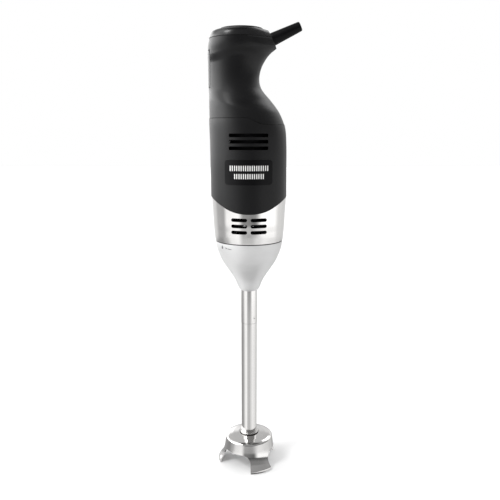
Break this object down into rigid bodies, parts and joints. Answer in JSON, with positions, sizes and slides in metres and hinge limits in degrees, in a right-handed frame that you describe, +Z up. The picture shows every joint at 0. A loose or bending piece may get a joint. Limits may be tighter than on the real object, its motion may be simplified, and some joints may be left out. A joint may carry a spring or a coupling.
{
  "type": "immersion blender",
  "caption": "Commercial hand-held immersion blender: vented motor body, hooked grip with trigger and speed dial, and a twist-off steel arm with a legged blade guard.",
  "frame": {"origin": "on the arm axis, in the plane the three feet stand on", "axes": "+Z up the arm towards the cap, +X towards the cord boot, -Y is the front with the label"},
  "size_m": [0.0946, 0.0794, 0.4744],
  "materials": {
    "grip_plastic": "soft-touch matte",
    "body_plastic": "fine satin",
    "cap_plastic": "fine satin",
    "dial_plastic": "matte",
    "trigger_plastic": "satin",
    "boot_rubber": "smooth",
    "label_print": "matte print",
    "housing_steel": "polished",
    "cone_steel": "bead blasted",
    "tube_steel": "satin",
    "guard_steel": "mirror polished",
    "blade_steel": "ground",
    "shaft_steel": "ground",
    "bearing_steel": "polished",
    "spring_steel": "drawn wire",
    "screw_steel": "zinc",
    "inner_plastic": "moulded",
    "lock_metal": "machined",
    "dog_plastic": "moulded",
    "seal_rubber": "moulded",
    "bush_bronze": "sintered",
    "core_steel": "laminated",
    "copper_wire": "enamelled",
    "commutator_copper": "turned",
    "brush_brass": "stamped",
    "brush_carbon": "pressed carbon",
    "board": "solder mask",
    "board_parts": "moulded",
    "lead_insulation": "insulation"
  },
  "bodies": {
    "housing": {"handle_front_half": "grip_plastic", "handle_rear_half": "grip_plastic", "handle_screws": "screw_steel", "top_cap": "cap_plastic", "cap_screws": "screw_steel", "speed_potentiometer": "board_parts", "trigger_pin": "shaft_steel", "microswitch": "inner_plastic", "control_board": "board", "board_components": "board_parts", "cord_boot": "boot_rubber", "cord_clamp": "inner_plastic", "cord_clamp_screws": "screw_steel", "wiring": "lead_insulation", "body_shell": "body_plastic", "label_plate": "label_print", "steel_housing": "housing_steel", "lock_ring": "lock_metal", "lower_bracket": "inner_plastic", "upper_bracket": "inner_plastic", "lower_motor_bearing": "bearing_steel", "upper_motor_bearing": "bearing_steel", "stator_core": "core_steel", "field_coils": "copper_wire", "brush_holders": "brush_brass", "motor_screws": "screw_steel"},
    "rotor": {"motor_shaft": "shaft_steel", "armature_core": "core_steel", "armature_winding": "copper_wire", "commutator": "commutator_copper", "cooling_fan": "inner_plastic", "motor_coupling": "dog_plastic"},
    "dial": {"speed_dial": "dial_plastic", "potentiometer_shaft": "shaft_steel"},
    "trigger": {"trigger": "trigger_plastic", "trigger_spring": "spring_steel"},
    "plunger": {"switch_plunger": "trigger_plastic"},
    "brush_front": {"brush_front": "brush_carbon", "brush_spring_front": "spring_steel"},
    "brush_rear": {"brush_rear": "brush_carbon", "brush_spring_rear": "spring_steel"},
    "arm": {"arm_cone": "cone_steel", "cone_seal": "seal_rubber", "arm_sleeve": "tube_steel", "arm_tube": "tube_steel", "tube_spigot": "tube_steel", "tube_collar": "tube_steel", "blade_guard": "guard_steel", "lower_bush": "bush_bronze", "shaft_seal": "seal_rubber", "shaft_bearing": "bearing_steel"},
    "blade_shaft": {"drive_shaft": "shaft_steel", "shaft_coupling": "dog_plastic", "blade": "blade_steel", "blade_nut": "blade_steel"}
  },
  "joints": [
    {"name": "trigger_press", "type": "hinge", "parent": "housing", "child": "trigger", "pos_m": [-0.034, 0, 0.443], "axis": [0, 1, 0], "range_deg": [-7, 0], "stiffness_Nm_per_rad": 0.5, "springref_deg": 8.59},
    {"name": "switch_press", "type": "slide", "parent": "housing", "child": "plunger", "axis": [1, 0, 0], "range_m": [0, 0.0017]},
    {"name": "dial_turn", "type": "hinge", "parent": "housing", "child": "dial", "pos_m": [-0.0076, 0, 0.466], "axis": [0, 0, 1], "range_deg": [-270, 0]},
    {"name": "rotor_spin", "type": "hinge", "parent": "housing", "child": "rotor", "pos_m": [0, 0, 0.31], "axis": [0, 0, 1], "continuous": true},
    {"name": "blade_spin", "type": "hinge", "parent": "housing", "child": "blade_shaft", "pos_m": [0, 0, 0.13], "axis": [0, 0, 1], "continuous": true},
    {"name": "arm_twist", "type": "hinge", "parent": "housing", "child": "arm", "pos_m": [0, 0, 0.26], "axis": [0, 0, 1], "range_deg": [0, 30]},
    {"name": "brush_front_wear", "type": "slide", "parent": "housing", "child": "brush_front", "axis": [0, -1, 0], "range_m": [0, 0.0015], "stiffness_N_per_m": 200, "springref_m": -0.002},
    {"name": "brush_rear_wear", "type": "slide", "parent": "housing", "child": "brush_rear", "axis": [0, 1, 0], "range_m": [0, 0.0015], "stiffness_N_per_m": 200, "springref_m": -0.002}
  ],
  "couplings": [
    {"joint": "switch_press", "follows": "trigger_press", "m_per_rad": -0.013},
    {"joint": "blade_spin", "follows": "rotor_spin", "ratio": 1}
  ]
}
